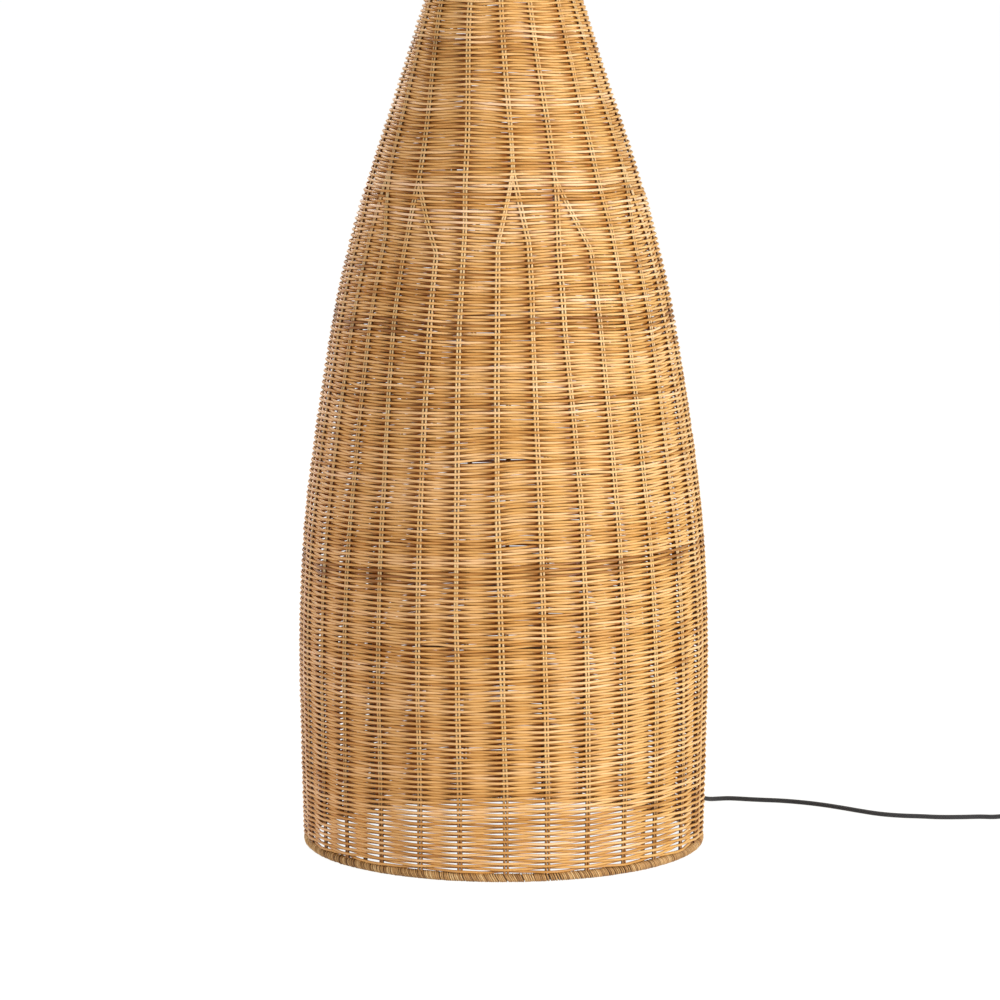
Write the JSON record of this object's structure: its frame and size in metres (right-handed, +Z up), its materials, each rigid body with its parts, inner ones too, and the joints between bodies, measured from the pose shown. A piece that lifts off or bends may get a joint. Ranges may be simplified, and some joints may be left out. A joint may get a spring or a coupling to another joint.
{
  "type": "rattan floor lamp",
  "caption": "Floor lamp with a hollow bottle-shaped body of woven rattan on a wound rim, a linen shade on its neck, and a black cord with a foot switch and plug.",
  "frame": {"origin": "on the floor, under the lamp's axis", "axes": "+Z up along the lamp's axis, +X to the right of someone who faces the front, -Y towards that person; the cord leaves at the back right"},
  "size_m": [1.0458, 0.53, 1.445],
  "materials": {
    "cane": "natural round rattan cane, peeled and lacquered matt, tan with browner lengths",
    "winding": "flat rattan strip wound tightly, duller than the weave",
    "steel": "steel rod, painted brown, satin",
    "zinc": "zinc plated steel",
    "black_metal": "matt black powder coat",
    "holder_plastic": "black moulded plastic, satin",
    "ceramic": "unglazed white ceramic",
    "brass": "plain brass",
    "bulb_metal": "plain aluminium",
    "bulb_glass": "opal glass, satin",
    "linen": "natural linen, plain weave, matt",
    "liner": "white laminate, matt",
    "white_wire": "white coated steel wire",
    "black_plastic": "black moulded plastic, fine texture",
    "button_plastic": "black moulded plastic, smooth",
    "pin_metal": "nickel plated",
    "cord": "black braided textile cord, matt"
  },
  "bodies": {
    "lamp": {"base_hoop": "steel", "base_rim_wrap": "winding", "woven_body": "cane", "rib_1": "steel", "rib_2": "steel", "rib_3": "steel", "rib_4": "steel", "lower_hoop": "steel", "middle_hoop": "steel", "upper_hoop": "steel", "top_hoop": "steel", "neck_rim_wrap": "winding", "neck_plate": "steel", "lower_nut": "zinc", "lock_nut": "zinc", "neck_cap": "black_metal", "threaded_tube": "zinc", "stem_sleeve": "black_metal", "holder_cap": "holder_plastic", "holder_skirt": "holder_plastic", "holder_insert": "ceramic", "thread_shell": "brass", "centre_contact": "brass", "inner_lead": "cord", "lead_clip_1": "black_plastic", "lead_clip_2": "black_plastic", "lead_clip_3": "black_plastic", "lead_clip_4": "black_plastic", "cord_gland": "black_plastic", "gland_nut": "black_plastic", "cord_to_switch": "cord", "switch_relief_in": "black_plastic", "switch_base": "black_plastic", "switch_cover": "black_plastic", "switch_block": "ceramic", "switch_relief_out": "black_plastic", "cord_to_coil": "cord", "cord_coil": "cord", "coil_tie": "black_plastic", "cord_to_plug": "cord", "plug_relief": "black_plastic", "plug_body": "black_plastic", "plug_pin_1": "pin_metal", "plug_pin_2": "pin_metal"},
    "shade": {"shade_linen": "linen", "shade_liner": "liner", "shade_bottom_ring": "white_wire", "shade_top_ring": "white_wire", "shade_centre_ring": "white_wire", "spider_arm_1": "white_wire", "spider_arm_2": "white_wire", "spider_arm_3": "white_wire"},
    "ring_nut": {"shade_ring_nut": "holder_plastic"},
    "bulb": {"bulb_tip": "brass", "bulb_cap": "bulb_metal", "bulb_glass": "bulb_glass"},
    "button": {"switch_button": "button_plastic"}
  },
  "joints": [
    {"name": "shade_turn", "type": "hinge", "parent": "lamp", "child": "shade", "pos_m": [0, 0, 1.1597], "axis": [0, 0, 1], "continuous": true},
    {"name": "ring_nut_turn", "type": "hinge", "parent": "lamp", "child": "ring_nut", "pos_m": [0, 0, 1.165], "axis": [0, 0, 1], "range_deg": [0, 720]},
    {"name": "bulb_turn", "type": "hinge", "parent": "lamp", "child": "bulb", "pos_m": [0, 0, 1.2], "axis": [0, 0, 1], "range_deg": [0, 1080]},
    {"name": "switch_press", "type": "slide", "parent": "lamp", "child": "button", "axis": [0, 0, -1], "range_m": [0, 0.0025], "stiffness_N_per_m": 500}
  ]
}
